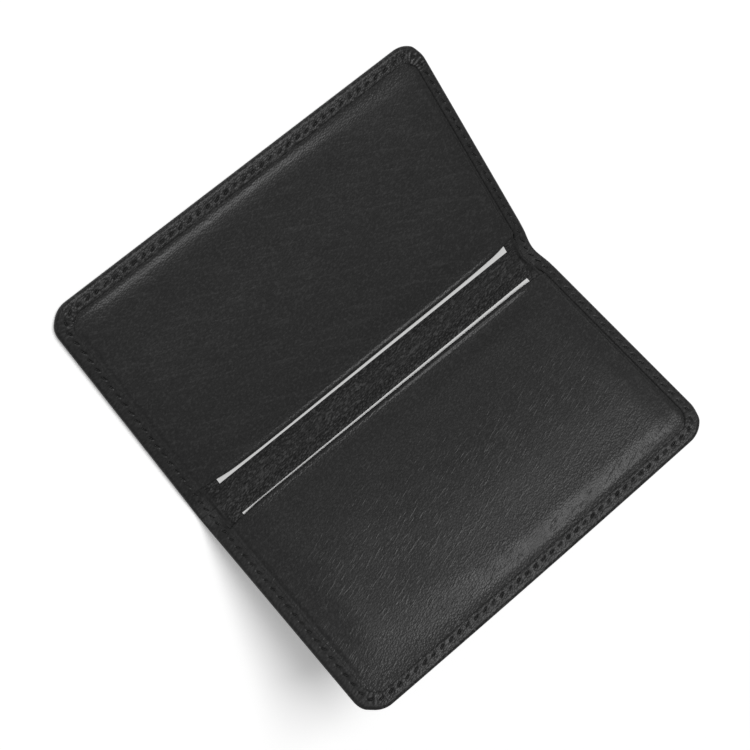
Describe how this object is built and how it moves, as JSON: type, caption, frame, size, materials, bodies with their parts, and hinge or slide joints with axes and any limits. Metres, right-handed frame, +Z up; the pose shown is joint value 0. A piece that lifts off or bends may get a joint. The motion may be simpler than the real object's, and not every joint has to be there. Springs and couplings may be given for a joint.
{
  "type": "business card holder",
  "caption": "Bifold leather business card holder, half open, with a card pocket in each wing and a card in each pocket.",
  "frame": {"origin": "centre of the left cover's flat outside face, which lies on the table", "axes": "+Z up, out of the left wing's inside; +Y along the spine; +X across the fold, from the left wing to the raised right wing"},
  "size_m": [0.1059, 0.1046, 0.0431],
  "materials": {
    "cover_leather": "pebbled black leather, satin, with a turned edge and black stitching",
    "lining_leather": "pebbled black leather, satin",
    "pocket_leather": "smooth fine-grained black leather, soft satin",
    "board": "plain grey stiffening board, hidden",
    "card": "plain white card, matt"
  },
  "bodies": {
    "left_wing": {"left_cover": "cover_leather", "left_board": "board", "left_lining": "lining_leather", "left_pocket_panel": "pocket_leather"},
    "spine": {"spine_cover": "cover_leather", "spine_lining": "lining_leather"},
    "right_wing": {"right_cover": "cover_leather", "right_board": "board", "right_lining": "lining_leather", "right_pocket_panel": "pocket_leather"},
    "left_card": {"left_card": "card"},
    "right_card": {"right_card": "card"}
  },
  "joints": [
    {"name": "fold_a", "type": "hinge", "parent": "left_wing", "child": "spine", "pos_m": [0.02885, 0, 0.0004], "axis": [0, -1, 0], "range_deg": [-21.4, 68.6], "deforming": ["spine_cover", "spine_lining"]},
    {"name": "fold_b", "type": "hinge", "parent": "spine", "child": "right_wing", "pos_m": [0.03472, 0, 0.0027], "axis": [0, -1, 0], "range_deg": [-21.4, 68.6]},
    {"name": "left_card_slide", "type": "slide", "parent": "left_wing", "child": "left_card", "axis": [1, 0, 0], "range_m": [-0.0008, 0.0003]},
    {"name": "right_card_slide", "type": "slide", "parent": "right_wing", "child": "right_card", "axis": [-0.7337, 0, -0.6794], "range_m": [0, 0.0014]}
  ],
  "couplings": [
    {"joint": "fold_b", "follows": "fold_a", "ratio": 1}
  ]
}
